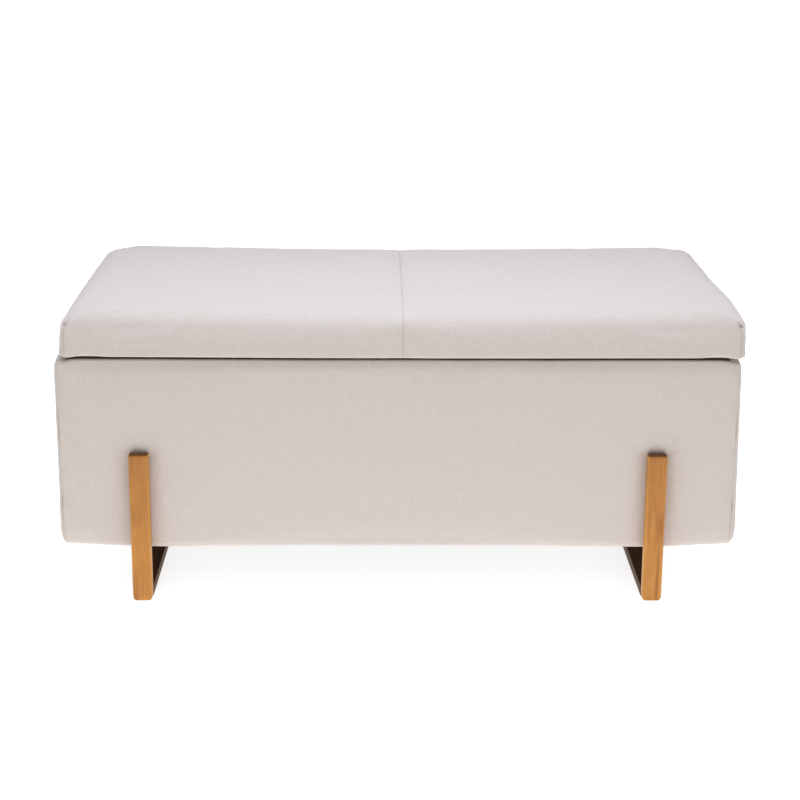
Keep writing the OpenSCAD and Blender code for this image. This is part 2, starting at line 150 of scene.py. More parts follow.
def inflate(piece, pin_weights, cap, pressure=4.0, frames=20):
    """Blows a closed fabric skin up with the cloth simulation and keeps the swollen shape.

    pin_weights holds each point back, from 0, free, to 1, fixed. No point moves more than cap."""
    group = piece.vertex_groups.new(name="pins")
    for weight in np.unique(np.round(pin_weights, 2)):
        if weight > 0.0:
            chosen = np.nonzero(np.round(pin_weights, 2) == weight)[0]
            group.add([int(i) for i in chosen], float(weight), "REPLACE")
    cloth = piece.modifiers.new("cloth", "CLOTH")
    settings = cloth.settings
    settings.quality = 5
    settings.mass = 0.2
    settings.tension_stiffness = 15.0
    settings.compression_stiffness = 15.0
    settings.shear_stiffness = 5.0
    settings.bending_stiffness = 1.0
    settings.use_pressure = True
    settings.uniform_pressure_force = pressure
    settings.vertex_group_mass = "pins"
    settings.effector_weights.gravity = 0.0
    cloth.collision_settings.use_collision = False
    cloth.collision_settings.use_self_collision = False
    cloth.point_cache.frame_start = 1
    cloth.point_cache.frame_end = frames
    before = read_points(piece.data)
    for step in range(1, frames + 1):
        bpy.context.scene.frame_set(step)
    evaluated = piece.evaluated_get(bpy.context.evaluated_depsgraph_get())
    after = read_points(evaluated.data)
    piece.modifiers.clear()
    piece.vertex_groups.clear()
    bpy.context.scene.frame_set(1)
    move = after - before
    length = np.linalg.norm(move, axis=1, keepdims=True)
    held = cap * np.tanh(length / cap) / np.maximum(length, 1e-9)
    write_points(piece.data, before + move * held)


# ---------------------------------------------------------------- shader nodes

class Shader:
    """Builds one material out of nodes."""

    def __init__(self, name):
        self.material = bpy.data.materials.new(name)
        self.material.use_nodes = True
        self.tree = self.material.node_tree
        self.tree.nodes.clear()
        self.output = self.tree.nodes.new("ShaderNodeOutputMaterial")
        self.surface = self.tree.nodes.new("ShaderNodeBsdfPrincipled")
        self.tree.links.new(self.surface.outputs[0], self.output.inputs["Surface"])

    def put(self, socket, value):
        """Links a socket, or sets it to a plain number, vector or colour."""
        if isinstance(value, bpy.types.NodeSocket):
            self.tree.links.new(value, socket)
        elif value is not None:
            socket.default_value = value

    def math(self, operation, first, second=None):
        """One Math node."""
        node = self.tree.nodes.new("ShaderNodeMath")
        node.operation = operation
        self.put(node.inputs[0], first)
        self.put(node.inputs[1], second)
        return node.outputs[0]

    def times(self, first, second):
        """The product of two values."""
        return self.math("MULTIPLY", first, second)

    def plus(self, first, second):
        """The sum of two values."""
        return self.math("ADD", first, second)

    def split(self, vector):
        """The three parts of a vector."""
        node = self.tree.nodes.new("ShaderNodeSeparateXYZ")
        self.put(node.inputs[0], vector)
        return node.outputs[0], node.outputs[1], node.outputs[2]

    def join(self, x, y, z):
        """A vector from three parts."""
        node = self.tree.nodes.new("ShaderNodeCombineXYZ")
        for socket, value in zip(node.inputs, (x, y, z)):
            self.put(socket, value)
        return node.outputs[0]

    def scaled(self, vector, factors):
        """A vector with each part multiplied."""
        node = self.tree.nodes.new("ShaderNodeVectorMath")
        node.operation = "MULTIPLY"
        self.put(node.inputs[0], vector)
        node.inputs[1].default_value = factors
        return node.outputs[0]

    def noise(self, vector, scale, detail=2.0, roughness=0.5, distortion=0.0):
        """Noise from 0 to 1."""
        node = self.tree.nodes.new("ShaderNodeTexNoise")
        self.put(node.inputs["Vector"], vector)
        node.inputs["Scale"].default_value = scale
        node.inputs["Detail"].default_value = detail
        node.inputs["Roughness"].default_value = roughness
        node.inputs["Distortion"].default_value = distortion
        return node.outputs[0]

    def ramp(self, factor, stops):
        """A colour ramp, from (place, colour) pairs."""
        node = self.tree.nodes.new("ShaderNodeValToRGB")
        self.put(node.inputs[0], factor)
        while len(node.color_ramp.elements) < len(stops):
            node.color_ramp.elements.new(0.5)
        for element, (place, colour) in zip(node.color_ramp.elements, stops):
            element.position = place
            element.color = (*colour, 1.0)
        return node.outputs[0]

    def rescale(self, value, from_low, from_high, to_low, to_high):
        """Maps one range of values onto another, held at its ends."""
        node = self.tree.nodes.new("ShaderNodeMapRange")
        settings = (value, from_low, from_high, to_low, to_high)
        for socket, setting in zip(node.inputs, settings):
            self.put(socket, setting)
        return node.outputs[0]

    def mix(self, factor, first, second):
        """Mixes two colours."""
        node = self.tree.nodes.new("ShaderNodeMix")
        node.data_type = "RGBA"
        self.put(node.inputs[0], factor)
        for socket, value in ((node.inputs[6], first), (node.inputs[7], second)):
            if isinstance(value, tuple):
                value = (*value, 1.0)
            self.put(socket, value)
        return node.outputs[2]

    def bump(self, height, distance, strength=1.0, below=None):
        """A bump from a height field, on top of another bump."""
        node = self.tree.nodes.new("ShaderNodeBump")
        node.inputs["Strength"].default_value = strength
        node.inputs["Distance"].default_value = distance
        self.put(node.inputs["Height"], height)
        self.put(node.inputs["Normal"], below)
        return node.outputs[0]

    def places(self):
        """Object coordinates and the object-space normal."""
        node = self.tree.nodes.new("ShaderNodeTexCoord")
        return node.outputs["Object"], node.outputs["Normal"]

    def set(self, **values):
        """Sets or links sockets of the surface shader by name."""
        for name, value in values.items():
            self.put(self.surface.inputs[name.replace("_", " ")], value)


def flat_coordinates(shader):
    """Coordinates across a surface along its threads, with the side it faces picked by its normal."""
    place, normal = shader.places()
    x, y, z = shader.split(place)
    nx, ny, nz = (shader.math("ABSOLUTE", part) for part in shader.split(normal))
    level = shader.math("GREATER_THAN", nz, shader.math("MAXIMUM", nx, ny))
    endwise = shader.math("GREATER_THAN", nx, shader.math("MAXIMUM", ny, nz))
    along = shader.plus(x, shader.times(endwise, shader.math("SUBTRACT", y, x)))
    up = shader.plus(z, shader.times(level, shader.math("SUBTRACT", y, z)))
    return place, along, up


def woven_cloth(name, colour, dark, light, thread, slub, sheen):
    """Plain-woven cloth: crossed threads, thick slubs both ways, soft colour changes and a faint sheen."""
    shader = Shader(name)
    place, along, up = flat_coordinates(shader)
    across = shader.join(along, up, 0.0)
    warp = shader.math("SINE", shader.times(along, math.pi / thread))
    weft = shader.math("SINE", shader.times(up, math.pi / thread))
    over = shader.math("GREATER_THAN", shader.times(warp, weft), 0.0)
    weave = shader.times(shader.math("ABSOLUTE", warp), shader.math("ABSOLUTE", weft))
    level_slubs = shader.noise(shader.scaled(across, (45.0, 620.0, 1.0)), 1.0, 2.5, 0.55)
    upright_slubs = shader.noise(shader.scaled(across, (620.0, 38.0, 1.0)), 1.0, 2.5, 0.55)
    slubs = shader.plus(level_slubs, shader.times(upright_slubs, 0.8))
    cloudy = shader.noise(place, 7.0, 3.0, 0.55)
    fuzz = shader.noise(place, 1500.0, 2.0, 0.6)
    tone = shader.mix(shader.rescale(slubs, 0.62, 1.18, 0.0, 1.0), dark, light)
    tone = shader.mix(shader.rescale(cloudy, 0.3, 0.7, 0.0, slub), tone, colour)
    tone = shader.mix(shader.times(over, 0.10), tone, light)
    tone = shader.mix(shader.rescale(weave, 0.0, 0.35, 0.16, 0.0), tone, dark)
    rough = shader.rescale(slubs, 0.6, 1.2, 0.94, 0.80)
    relief = shader.bump(slubs, 0.35 * MILLIMETRE, 0.5)
    relief = shader.bump(weave, 0.22 * MILLIMETRE, 0.5, relief)
    relief = shader.bump(fuzz, 0.10 * MILLIMETRE, 0.4, relief)
    shader.set(Base_Color=tone, Roughness=rough, Normal=relief, IOR=1.45)
    shader.set(Sheen_Weight=sheen, Sheen_Roughness=0.55, Specular_IOR_Level=0.25)
    return shader.material


def stained_wood(name, grain_axis, tones, edge_axis=None, edge_place=0.0, edge_half=0.0, darker=None,
                 gloss=0.3):
    """Stained, satin-lacquered wood with its grain along one axis and darker end grain.

    The long edges are painted paler, a painted highlight where their rounding catches the light. darker gives
    the two places along the grain between which the colour deepens towards the second, a painted shade."""
    shader = Shader(name)
    place, normal = shader.places()
    stretch = [70.0, 70.0, 70.0]
    stretch[grain_axis] = 1.7
    pores_stretch = [900.0, 900.0, 900.0]
    pores_stretch[grain_axis] = 26.0
    wander = shader.noise(place, 9.0, 2.0)
    moved = shader.scaled(place, tuple(stretch))
    growth = shader.noise(moved, 1.0, 3.0, 0.5, 0.35)
    bands = shader.math("SINE", shader.times(shader.plus(growth, wander), 16.0))
    bands = shader.rescale(bands, -1.0, 1.0, 0.0, 1.0)
    pores = shader.noise(shader.scaled(place, tuple(pores_stretch)), 1.0, 3.0, 0.65)
    deep, middle, pale = tones
    figure = shader.plus(shader.times(growth, 0.75), shader.times(bands, 0.16))
    tone = shader.ramp(figure, [(0.20, deep), (0.46, middle), (0.72, pale)])
    specks = shader.rescale(pores, 0.30, 0.47, 0.45, 0.0)
    tone = shader.mix(specks, tone, deep)
    # painted highlight: the long edges are painted paler, as if their rounding caught the light
    if edge_axis is not None:
        parts = shader.split(place)
        offset = shader.math("SUBTRACT", shader.math("ABSOLUTE", parts[edge_axis]), edge_place)
        from_middle = shader.math("ABSOLUTE", offset)
        edge_highlight = shader.rescale(from_middle, edge_half - 0.0034, edge_half - 0.0008, 0.0, 0.55)
        clouds = shader.noise(place, 24.0, 2.0, 0.5)
        edge_highlight = shader.times(edge_highlight, shader.rescale(clouds, 0.35, 0.6, 0.5, 1.0))
        tone = shader.mix(edge_highlight, tone, pale)
    # painted shade: the colour darkens towards the second place along the grain
    if darker is not None:
        along = shader.split(place)[grain_axis]
        tone = shader.mix(shader.rescale(along, darker[0], darker[1], 0.0, 0.30), tone, deep)
    end_grain = shader.math("ABSOLUTE", shader.split(normal)[grain_axis])
    nearly_black = tuple(0.34 * part for part in deep)
    tone = shader.mix(shader.rescale(end_grain, 0.55, 0.95, 0.0, 0.92), tone, nearly_black)
    grain = shader.plus(pores, shader.times(growth, 0.5))
    rough = shader.rescale(grain, 0.45, 1.0, 0.52, 0.36)
    rough = shader.plus(rough, shader.rescale(end_grain, 0.55, 0.95, 0.0, 0.35))
    relief = shader.bump(pores, 0.12 * MILLIMETRE, 0.45)
    relief = shader.bump(figure, 0.25 * MILLIMETRE, 0.25, relief)
    shader.set(Base_Color=tone, Roughness=rough, Normal=relief, IOR=1.5)
    shader.set(Coat_Weight=0.2 * gloss, Coat_Roughness=0.30, Specular_IOR_Level=gloss)
    return shader.material


def layered_plywood(name, tones):
    """Sheet plywood with thin veneer layers showing on its edges."""
    shader = Shader(name)
    place, normal = shader.places()
    long_figure = shader.noise(shader.scaled(place, (9.0, 60.0, 60.0)), 1.0, 4.0, 0.6, 0.6)
    pores = shader.noise(shader.scaled(place, (60.0, 900.0, 900.0)), 1.0, 2.0, 0.6)
    x, y, z = shader.split(place)
    sum_of_parts = shader.plus(shader.plus(x, y), z)
    layers = shader.math("SINE", shader.times(sum_of_parts, 2.0 * math.pi / 0.0026))
    deep, middle, pale = tones
    tone = shader.ramp(long_figure, [(0.3, deep), (0.5, middle), (0.7, pale)])
    tone = shader.mix(shader.rescale(layers, 0.2, 0.8, 0.0, 0.22), tone, deep)
    tone = shader.mix(shader.rescale(pores, 0.3, 0.45, 0.25, 0.0), tone, deep)
    rough = shader.rescale(pores, 0.3, 0.7, 0.82, 0.62)
    shader.set(Base_Color=tone, Roughness=rough, Normal=shader.bump(pores, 0.2 * MILLIMETRE, 0.5))
    shader.set(Specular_IOR_Level=0.3)
    return shader.material


def open_foam(name, colour, dark):
    """Soft polyurethane foam with open cells."""
    shader = Shader(name)
    place, _ = shader.places()
    cells = shader.noise(place, 900.0, 3.0, 0.7)
    cloudy = shader.noise(place, 12.0, 2.0)
    tone = shader.mix(shader.rescale(cells, 0.35, 0.6, 0.5, 0.0), colour, dark)
    tone = shader.mix(shader.rescale(cloudy, 0.3, 0.7, 0.0, 0.2), tone, dark)
    rough = shader.rescale(cells, 0.3, 0.7, 1.0, 0.85)
    shader.set(Base_Color=tone, Roughness=rough, Normal=shader.bump(cells, 0.5 * MILLIMETRE, 0.7))
    shader.set(Sheen_Weight=0.1, Specular_IOR_Level=0.2)
    return shader.material


def brushed_metal(name, colour, dark, rough_low, rough_high, brush):
    """Plated metal with brush marks one way, light wear and a few dull patches."""
    shader = Shader(name)
    place, _ = shader.places()
    marks = shader.noise(shader.scaled(place, brush), 1.0, 3.0, 0.6)
    patches = shader.noise(place, 60.0, 3.0, 0.6)
    tone = shader.mix(shader.rescale(patches, 0.45, 0.75, 0.0, 0.55), colour, dark)
    tone = shader.mix(shader.rescale(marks, 0.35, 0.65, 0.12, 0.0), tone, dark)
    blend = shader.plus(shader.times(marks, 0.6), shader.times(patches, 0.4))
    rough = shader.rescale(blend, 0.35, 0.65, rough_low, rough_high)
    relief = shader.bump(marks, 0.05 * MILLIMETRE, 0.35)
    shader.set(Base_Color=tone, Roughness=rough, Normal=relief, Metallic=1.0)
    return shader.material


# ---------------------------------------------------------------- camera, floor and light

CAMERA_YAW = math.radians(0.853)
CAMERA_PITCH = math.radians(14.23)
CAMERA_ROLL = math.radians(0.388)
CAMERA_PLACE = (-0.0373, -2.7848, 1.1904)
WORLD_STRENGTH = 0.455
GLOW_NEAR = 0.80
GLOW_FAR = 0.62
OVERHEAD_POWER = 22.5
FRONT_POWER = 0.2
LOW_POWER = 1.3
WHITE = (1.0, 1.0, 1.0, 1.0)


def make_camera():
    """The camera at the photograph's viewing angle."""
    level = math.cos(CAMERA_PITCH)
    forward = Vector((math.sin(CAMERA_YAW) * level, math.cos(CAMERA_YAW) * level, -math.sin(CAMERA_PITCH)))
    right = Vector((math.cos(CAMERA_YAW), -math.sin(CAMERA_YAW), 0.0))
    up = right.cross(forward)
    level_x = right * math.cos(CAMERA_ROLL) + up * math.sin(CAMERA_ROLL)
    level_y = up * math.cos(CAMERA_ROLL) - right * math.sin(CAMERA_ROLL)
    turn = Matrix((level_x, level_y, -forward)).transposed()
    data = bpy.data.cameras.new("camera")
    data.lens = 74.1
    data.sensor_width = 36.0
    data.shift_y = -0.15
    data.dof.use_dof = False
    camera = bpy.data.objects.new("camera", data)
    camera.matrix_world = Matrix.Translation(CAMERA_PLACE) @ turn.to_4x4()
    bpy.context.scene.collection.objects.link(camera)
    bpy.context.scene.camera = camera


def make_floor():
    """A pale floor that runs far away on every side. It glows a little, most of all near the ottoman."""
    shader = Shader("pale_floor")
    place, _ = shader.places()
    mottle = shader.noise(place, 3.0, 3.0)
    tone = shader.mix(shader.rescale(mottle, 0.3, 0.7, 0.0, 1.0), (0.90,) * 3, (0.93,) * 3)
    shader.set(Base_Color=tone, Roughness=0.9, Specular_IOR_Level=0.1)
    x, y, _ = shader.split(place)
    away = shader.math("SQRT", shader.plus(shader.times(x, x), shader.times(y, y)))
    glow = shader.rescale(away, 1.0, 2.6, GLOW_NEAR, GLOW_FAR)
    shader.set(Emission_Color=WHITE, Emission_Strength=glow)
    size = 40.0
    corners = [(-size, -size, 0.0), (size, -size, 0.0), (size, size, 0.0), (-size, size, 0.0)]
    floor = make_object("floor", corners, [(0, 1, 2, 3)], shader.material)


def make_light(name, place, target, size, power, colour):
    """A large soft panel light aimed at a point."""
    data = bpy.data.lights.new(name, "AREA")
    data.shape = "RECTANGLE"
    data.size = size[0]
    data.size_y = size[1]
    data.energy = power
    data.color = colour
    lamp = bpy.data.objects.new(name, data)
    lamp.location = place
    lamp.visible_camera = False
    lamp.rotation_euler = (Vector(target) - Vector(place)).to_track_quat("-Z", "Y").to_euler()
    bpy.context.scene.collection.objects.link(lamp)


def make_world():
    """White surroundings: bright where the camera sees them, dimmer as a source of light."""
    world = bpy.data.worlds.new("studio")
    bpy.context.scene.world = world
    world.use_nodes = True
    tree = world.node_tree
    background = tree.nodes["Background"]
    background.inputs["Color"].default_value = WHITE
    background.inputs["Strength"].default_value = WORLD_STRENGTH
    backdrop = tree.nodes.new("ShaderNodeBackground")
    backdrop.inputs["Color"].default_value = WHITE
    rays = tree.nodes.new("ShaderNodeLightPath")
    chosen = tree.nodes.new("ShaderNodeMixShader")
    tree.links.new(rays.outputs["Is Camera Ray"], chosen.inputs[0])
    tree.links.new(background.outputs[0], chosen.inputs[1])
    tree.links.new(backdrop.outputs[0], chosen.inputs[2])
    tree.links.new(chosen.outputs[0], tree.nodes["World Output"].inputs["Surface"])


def make_lights():
    """A broad cool light above, a low warm one in front and a weak fill from the front left."""
    make_light(
        "overhead", (0.0, -0.30, 1.75), (0.0, -0.299, 0.0), (2.0, 0.4), OVERHEAD_POWER, (0.905, 0.98, 1.165))
    make_light("low_front", (0.0, -0.95, 0.05), (0.0, -0.25, 0.14), (2.2, 0.25), LOW_POWER, (1.0, 0.93, 0.88))
    make_light("front_left", (-1.9, -2.6, 1.5), (0.0, 0.0, 0.25), (1.5, 1.5), FRONT_POWER, (1.0, 0.97, 0.94))


make_camera()
make_floor()
make_world()
make_lights()
bpy.context.scene.view_settings.view_transform = "Standard"


# ---------------------------------------------------------------- materials

linen = woven_cloth(
    "linen_weave", colour=(0.592, 0.525, 0.470), dark=(0.549, 0.481, 0.430), light=(0.624, 0.561, 0.506),
    thread=1.1 * MILLIMETRE, slub=0.45, sheen=0.12)
lining_cloth = woven_cloth(
    "lining_weave", colour=(0.062, 0.058, 0.056), dark=(0.041, 0.038, 0.037), light=(0.084, 0.079, 0.077),
    thread=0.8 * MILLIMETRE, slub=0.5, sheen=0.25)
thread = woven_cloth(
    "sewing_thread", colour=(0.60, 0.53, 0.49), dark=(0.45, 0.39, 0.36), light=(0.68, 0.61, 0.57),
    thread=0.4 * MILLIMETRE, slub=0.4, sheen=0.2)

HONEY = ((0.25, 0.086, 0.011), (0.48, 0.196, 0.029), (0.66, 0.310, 0.060))
# painted shade: the runners' wood is much darker than the straps', standing in for the shadow under the box
HONEY_DARKENED_AS_SHADE = ((0.060, 0.020, 0.005), (0.105, 0.042, 0.010), (0.140, 0.060, 0.016))
strap_centre = float((STRAP_LOW[0] + STRAP_HIGH[0]) / 2)
strap_half = float((STRAP_HIGH[0] - STRAP_LOW[0]) / 2)
# painted shade: the uprights grow darker upward from 0.10 m to 0.25 m along their grain
upright_wood = stained_wood("honey_wood_upright", 2, HONEY, 0, strap_centre, strap_half, (0.10, 0.25))
runner_wood = stained_wood("shaded_honey_wood_runner", 1, HONEY_DARKENED_AS_SHADE, gloss=0.04)
RAW = ((0.50, 0.35, 0.19), (0.64, 0.48, 0.28), (0.74, 0.58, 0.37))
cleat_wood = stained_wood("raw_pine", 0, RAW)
plywood = layered_plywood("birch_plywood", ((0.52, 0.37, 0.21), (0.66, 0.50, 0.31), (0.75, 0.60, 0.40)))
foam = open_foam("cream_foam", (0.86, 0.83, 0.72), (0.72, 0.66, 0.50))
hinge_metal = brushed_metal(
    "zinc_hinge", (0.62, 0.62, 0.63), (0.42, 0.42, 0.44), 0.26, 0.42, (900.0, 60.0, 900.0))
stay_metal = brushed_metal(
    "zinc_stay", (0.64, 0.64, 0.66), (0.44, 0.44, 0.47), 0.24, 0.40, (900.0, 50.0, 700.0))
screw_metal = brushed_metal(
    "screw_steel", (0.58, 0.58, 0.59), (0.36, 0.36, 0.38), 0.28, 0.45, (700.0, 700.0, 120.0))
brass = brushed_metal(
    "insert_brass", (0.78, 0.55, 0.24), (0.50, 0.33, 0.12), 0.28, 0.45, (600.0, 80.0, 600.0))

CAD_LOOKS = {
    "linen": linen, "foam": foam, "lining_cloth": lining_cloth, "plywood": plywood, "softwood": cleat_wood,
    "strap_wood": upright_wood, "hinge_steel": hinge_metal, "stay_steel": stay_metal,
    "fastener_steel": screw_metal, "insert_brass": brass,
}


def dress_cad_nodes():
    """Gives every CAD node the material of its slot; runners have their grain along their own length and a
    darker wood, painted shade.
    """
    slot_of = {}
    for subpart in frame["record"]["subparts"]:
        for node in subpart.get("nodes", [subpart.get("node")]):
            slot_of[node] = subpart.get("material_slot") or subpart.get("material")
    for name, node in frame["nodes"].items():
        look = CAD_LOOKS.get(slot_of.get(name), screw_metal)
        if name.startswith("runner"):
            look = runner_wood
        for material_slot in node.material_slots:
            material_slot.material = look


dress_cad_nodes()


# ---------------------------------------------------------------- box grids and rounding

def lines_between(half, edge_steps, spacing, centre_steps=()):
    """Grid positions from -half to half: closer together by the ends, and by the centre if asked."""
    near = [half - step for step in edge_steps]
    inner = near[-1]
    start = centre_steps[-1] if centre_steps else 0.0
    count = max(1, round((inner - start) / spacing))
    positive = list(centre_steps) + [start + (inner - start) * k / count for k in range(1, count)]
    positive += sorted(near)
    if not centre_steps:
        positive = [0.0] + positive
    positive = sorted(set(round(p, 7) for p in positive))
    return sorted([-p for p in positive if p > 0.0]) + positive


def box_shell(xs, ys, zs):
    """Points and quads on the surface of a box with grid lines at xs, ys and zs."""
    numbers = {}
    points = []

    def corner(i, j, k):
        key = (i, j, k)
        if key not in numbers:
            numbers[key] = len(points)
            points.append((xs[i], ys[j], zs[k]))
        return numbers[key]

    faces = []

    def quad(*corners):
        faces.append([corner(*place) for place in corners])

    end_i, end_j, end_k = len(xs) - 1, len(ys) - 1, len(zs) - 1
    for i in range(end_i):
        for j in range(end_j):
            quad((i, j, end_k), (i + 1, j, end_k), (i + 1, j + 1, end_k), (i, j + 1, end_k))
            quad((i, j, 0), (i, j + 1, 0), (i + 1, j + 1, 0), (i + 1, j, 0))
    for k in range(end_k):
        for i in range(end_i):
            quad((i, 0, k), (i + 1, 0, k), (i + 1, 0, k + 1), (i, 0, k + 1))
            quad((i + 1, end_j, k), (i, end_j, k), (i, end_j, k + 1), (i + 1, end_j, k + 1))
        for j in range(end_j):
            quad((0, j + 1, k), (0, j, k), (0, j, k + 1), (0, j + 1, k + 1))
            quad((end_i, j, k), (end_i, j + 1, k), (end_i, j + 1, k + 1), (end_i, j, k + 1))
    return np.array(points), faces


def grid_faces(width, height):
    """Quads that face up, on a level grid of points."""
    starts = [j * width + i for j in range(height - 1) for i in range(width - 1)]
    return [[a, a + 1, a + width + 1, a + width] for a in starts]


def keep_only(points, faces):
    """The points that some faces use, and the faces with their points numbered anew."""
    used = sorted({v for face in faces for v in face})
    number = {v: n for n, v in enumerate(used)}
    return points[used], [[number[v] for v in face] for face in faces]


def to_disc(a, b):
    """Maps the unit square onto the unit quarter disc."""
    return a * np.sqrt(1.0 - b * b / 2.0), b * np.sqrt(1.0 - a * a / 2.0)


def outline_of(points, half, radius):
    """How far each point is inside a rounded rectangle's outline, and the way out."""
    radius = np.broadcast_to(radius, len(points))
    plan = np.abs(points[:, :2]) - (np.array(half) - radius[:, None])
    outside = np.maximum(plan, 0.0)
    length = np.linalg.norm(outside, axis=1)
    inward = radius - length - np.minimum(plan.max(axis=1), 0.0)
    nearest = np.zeros_like(plan)
    nearest[np.arange(len(plan)), plan.argmax(axis=1)] = 1.0
    way_out = np.where(length[:, None] > 1e-9, outside / np.maximum(length, 1e-9)[:, None], nearest)
    return inward, way_out * np.sign(points[:, :2] + 1e-12)


def round_corners(points, half, radius):
    """Rounds the upright corners of a box."""
    radius = np.broadcast_to(radius, len(points))[:, None]
    corner = np.array(half) - radius
    over = np.clip((np.abs(points[:, :2]) - corner) / radius, 0.0, 1.0)
    a, b = to_disc(over[:, 0], over[:, 1])
    rounded = corner + radius * np.stack([a, b], axis=1)
    outside = over > 0.0
    result = points.copy()
    result[:, :2] = np.where(outside, rounded * np.sign(points[:, :2]), points[:, :2])
    return result


def round_rim(points, half, plan_radius, level, radius, upward):
    """Rounds the edge between the sides and the top (upward 1) or bottom (upward -1)."""
    inward, way_out = outline_of(points, half, plan_radius)
    depth = (level - points[:, 2]) * upward
    a = np.clip(1.0 - inward / radius, 0.0, 1.0)
    b = np.clip(1.0 - depth / radius, 0.0, 1.0)
    disc_a, disc_b = to_disc(a, b)
    result = points.copy()
    near = (a > 0.0) & (b > 0.0)
    shift = np.where(near, (a - disc_a) * radius, 0.0)
    result[:, :2] -= way_out * shift[:, None]
    result[:, 2] = np.where(near, level - upward * radius * (1.0 - disc_b), points[:, 2])
    return result


# ---------------------------------------------------------------- lid cushion

LID_HALF = ((LID_HIGH[0] - LID_LOW[0]) / 2, (LID_HIGH[1] - LID_LOW[1]) / 2)
LID_BOTTOM = float(LID_LOW[2])
LID_TOP = float(LID_HIGH[2])
LID_CORNER = 0.016
SEAM_PARTING = 0.00004    # keeps the two halves of the lid just apart
SEAM_STEPS = (0.0, 0.0011, 0.0024, 0.0042, 0.0070, 0.0115)
EDGE_STEPS = (0.0, 0.0022, 0.0048, 0.0078, 0.0115, 0.0155, 0.0200, 0.0260)


def lid_blank():
    """The lid's skin before it is blown up: a little smaller than the finished cushion."""
    half = (LID_HALF[0] + 0.0040, LID_HALF[1] - 0.0012)
    top = LID_TOP - 0.0066
    xs = lines_between(half[0], EDGE_STEPS, GRID, SEAM_STEPS)
    ys = lines_between(half[1], EDGE_STEPS, GRID)
    rise = top - LID_BOTTOM
    zs = [0.0, 0.0025, 0.0055, 0.009, 0.014] + list(np.linspace(0.021, rise - 0.026, 4))
    zs += [rise - 0.020, rise - 0.0145, rise - 0.0095, rise - 0.0045, rise]
    points, faces = box_shell(xs, ys, [LID_BOTTOM + z for z in zs])
    points = round_corners(points, half, LID_CORNER)
    points = round_rim(points, half, LID_CORNER, top, 0.018, 1.0)
    points = round_rim(points, half, LID_CORNER, LID_BOTTOM, 0.0036, -1.0)
    return points, faces, half


def lid_edge_lift(points, half):
    """How far the lid's lower front and rear edges rise off the box, most of all just inside the corners."""
    from_middle = np.abs(points[:, 0])
    rise = 0.0004 + 0.0014 * smooth(from_middle, 0.10, 0.48) + 0.0042 * bell(from_middle - 0.508, 0.018)
    rise *= 1.0 - smooth(from_middle, 0.520, 0.545)
    across = half[1] - np.abs(points[:, 1])
    near_edge = 1.0 - smooth(across, 0.001, 0.0105)
    margin = 0.0007 * (1.0 - smooth(across, 0.014, 0.030))
    low = 1.0 - smooth(points[:, 2] - LID_BOTTOM, 0.008, 0.030)
    return (margin + rise * near_edge) * low


def lid_pins(points, half):
    """Pins the stapled underside, the corner seams and, more loosely, the centre seam."""
    low = points[:, 2] < LID_BOTTOM + 0.0015
    inward, _ = outline_of(points, half, LID_CORNER)
    weights = np.where(low, 1.0, 0.0)
    weights = np.maximum(weights, 0.5 * bell(points[:, 0], 0.0030))
    diagonal = np.abs((half[0] - np.abs(points[:, 0])) - (half[1] - np.abs(points[:, 1])))
    corner = bell(diagonal, 0.0035) * (inward < 0.012) * (points[:, 2] < LID_TOP - 0.012)
    return np.maximum(weights, 0.9 * corner)


def lid_settle(points):
    """Gives the blown-up lid its crown, sagging middle and drooping corners."""
    x, y, z = points.T
    share = np.clip((z - LID_BOTTOM) / (LID_TOP - LID_BOTTOM), 0.0, 1.0)
    bow = 0.0055 * smooth(np.abs(x), 0.04, 0.47)
    droop_x = smooth(np.abs(x), LID_HALF[0] - 0.044 + 0.014 * np.sign(x), LID_HALF[0] + 0.008)
    droop_y = smooth(np.abs(y), LID_HALF[1] - 0.085, LID_HALF[1])
    corner = (0.0068 - 0.0014 * np.sign(x)) * droop_x * (0.30 + 0.70 * droop_y)
    crown = 0.0025 * (1.0 - (y / LID_HALF[1]) ** 2)
    result = points.copy()
    result[:, 2] = z + share ** 1.5 * (bow - corner + crown - 0.0005)
    fuller = smooth(x, 0.44, 0.55) * bell(y + 0.14, 0.10) * share
    result[:, 0] += 0.0066 * fuller
    result[:, 2] += 0.0012 * fuller
    return result


def dent_along_seams(points, normals):
    """Draws the cloth down into the centre seam and the corner seams, with small puckers beside them."""
    x, y, z = points.T
    on_sides = z > LID_BOTTOM + 0.0012
    ripple = noise_field(np.stack([x * 0.25, y, z], axis=1), 0.011, 3)
    groove = 0.0010 * bell(x, 0.0013) + 0.0006 * bell(x, 0.018) * (1.0 + 0.7 * ripple)
    diagonal = (LID_HALF[0] - np.abs(x)) - (LID_HALF[1] - np.abs(y))
    inward, _ = outline_of(points, LID_HALF, LID_CORNER)
    above_hem = smooth(z, LID_BOTTOM + 0.001, LID_BOTTOM + 0.006)
    below_tuck = 1.0 - smooth(z, LID_TOP - 0.020, LID_TOP - 0.008)
    near_corner = (inward < 0.014) * (above_hem * below_tuck)
    pucker = 0.0008 * bell(diagonal, 0.016) * (1.0 + 0.5 * ripple)
    groove = groove + near_corner * (0.0012 * bell(diagonal, 0.0030) + pucker)
    tuck = 0.0066 * bell(diagonal, 0.0034) * bell(z - (LID_TOP - 0.018), 0.0045) * (inward < 0.018)
    return points - normals * ((groove + tuck) * on_sides)[:, None]


def soften(points, normals, mask, seed):
    """Faint dents and waves that a stretched cloth over foam shows."""
    broad = noise_field(points * np.array([1.0, 1.0, 1.4]), 0.110, seed)
    fine = noise_field(points * np.array([1.0, 1.0, 0.7]), 0.034, seed + 1)
    return points + normals * (mask * (0.0008 * broad + 0.00028 * fine))[:, None]


